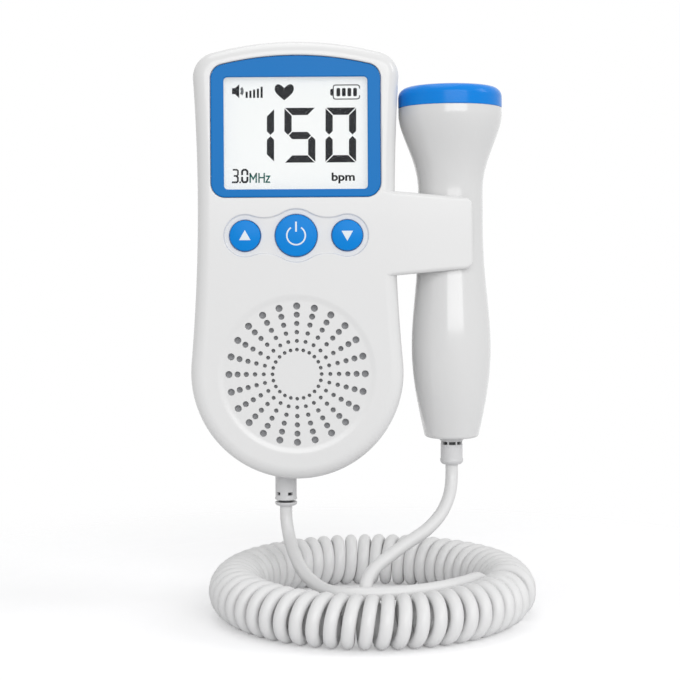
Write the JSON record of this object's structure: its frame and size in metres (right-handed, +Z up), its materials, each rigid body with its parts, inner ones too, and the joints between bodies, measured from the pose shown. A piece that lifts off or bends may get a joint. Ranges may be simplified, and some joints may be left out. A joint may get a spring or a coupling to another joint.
{
  "type": "fetal doppler monitor",
  "caption": "Hand-held monitor with a display, round buttons and a speaker grille, a side clip that holds a blue-capped probe, and a curly cord coiled in a ring.",
  "frame": {"origin": "centre of the main unit's flat back face, half-way up the unit, where the hand holds it", "axes": "+X to the right as seen from the front, towards the probe; +Z up along the unit; the display faces -Y"},
  "size_m": [0.1068, 0.1016, 0.1784],
  "materials": {
    "front_shell": "white gloss ABS",
    "rear_shell": "white gloss ABS",
    "display_bezel": "blue gloss plastic",
    "display_window": "clear acrylic",
    "lcd_panel": "liquid crystal glass",
    "lcd_backlight": "milky diffuser",
    "lcd_holder": "ivory plastic",
    "main_board": "green solder mask",
    "board_chips": "black epoxy",
    "board_screws": "plated steel",
    "button_switches": "black plastic",
    "grille_cloth": "black dust cloth",
    "speaker_frame": "pressed steel",
    "speaker_cone": "film cone",
    "speaker_magnet": "steel pot",
    "headphone_jack": "black plastic",
    "main_gland": "white flexible plastic",
    "shell_screws": "plated steel",
    "cells": "wrapped metal can",
    "contact_plates": "nickel plated",
    "contact_springs": "nickel plated",
    "battery_door": "white gloss ABS",
    "power_button": "blue gloss plastic with a white power symbol",
    "power_plunger": "tan plastic",
    "up_button": "blue gloss plastic with a white triangle",
    "up_plunger": "tan plastic",
    "down_button": "blue gloss plastic with a white triangle",
    "down_plunger": "tan plastic",
    "probe_shell": "white gloss ABS",
    "probe_cap": "blue gloss plastic",
    "piezo_disc": "silvered ceramic on brass",
    "piezo_holder": "black foam",
    "probe_board": "green solder mask",
    "probe_gland": "white flexible plastic",
    "lead_main": "white vinyl",
    "curly_cord": "white vinyl",
    "lead_probe": "white vinyl"
  },
  "bodies": {
    "main_unit": {"front_shell": "front_shell", "rear_shell": "rear_shell", "display_bezel": "display_bezel", "display_window": "display_window", "lcd_panel": "lcd_panel", "lcd_backlight": "lcd_backlight", "lcd_holder": "lcd_holder", "main_board": "main_board", "board_chips": "board_chips", "board_screws": "board_screws", "button_switches": "button_switches", "grille_cloth": "grille_cloth", "speaker_frame": "speaker_frame", "speaker_cone": "speaker_cone", "speaker_magnet": "speaker_magnet", "headphone_jack": "headphone_jack", "main_gland": "main_gland", "shell_screws": "shell_screws", "cells": "cells", "contact_plates": "contact_plates", "contact_springs": "contact_springs", "lead_main": "lead_main", "curly_cord": "curly_cord", "lead_probe": "lead_probe"},
    "power_button": {"power_button": "power_button", "power_plunger": "power_plunger"},
    "up_button": {"up_button": "up_button", "up_plunger": "up_plunger"},
    "down_button": {"down_button": "down_button", "down_plunger": "down_plunger"},
    "battery_door": {"battery_door": "battery_door"},
    "probe": {"probe_shell": "probe_shell", "probe_cap": "probe_cap", "piezo_disc": "piezo_disc", "piezo_holder": "piezo_holder", "probe_board": "probe_board", "probe_gland": "probe_gland"}
  },
  "joints": [
    {"name": "power_button_press", "type": "slide", "parent": "main_unit", "child": "power_button", "axis": [0, 1, 0], "range_m": [0, 0.0005], "stiffness_N_per_m": 400},
    {"name": "up_button_press", "type": "slide", "parent": "main_unit", "child": "up_button", "axis": [0, 1, 0], "range_m": [0, 0.0005], "stiffness_N_per_m": 400},
    {"name": "down_button_press", "type": "slide", "parent": "main_unit", "child": "down_button", "axis": [0, 1, 0], "range_m": [0, 0.0005], "stiffness_N_per_m": 400},
    {"name": "battery_door_slide", "type": "slide", "parent": "main_unit", "child": "battery_door", "axis": [0, 0, -1], "range_m": [0, 0.008]},
    {"name": "probe_pull", "type": "slide", "parent": "main_unit", "child": "probe", "axis": [1, 0, 0], "range_m": [0, 0.03]}
  ]
}
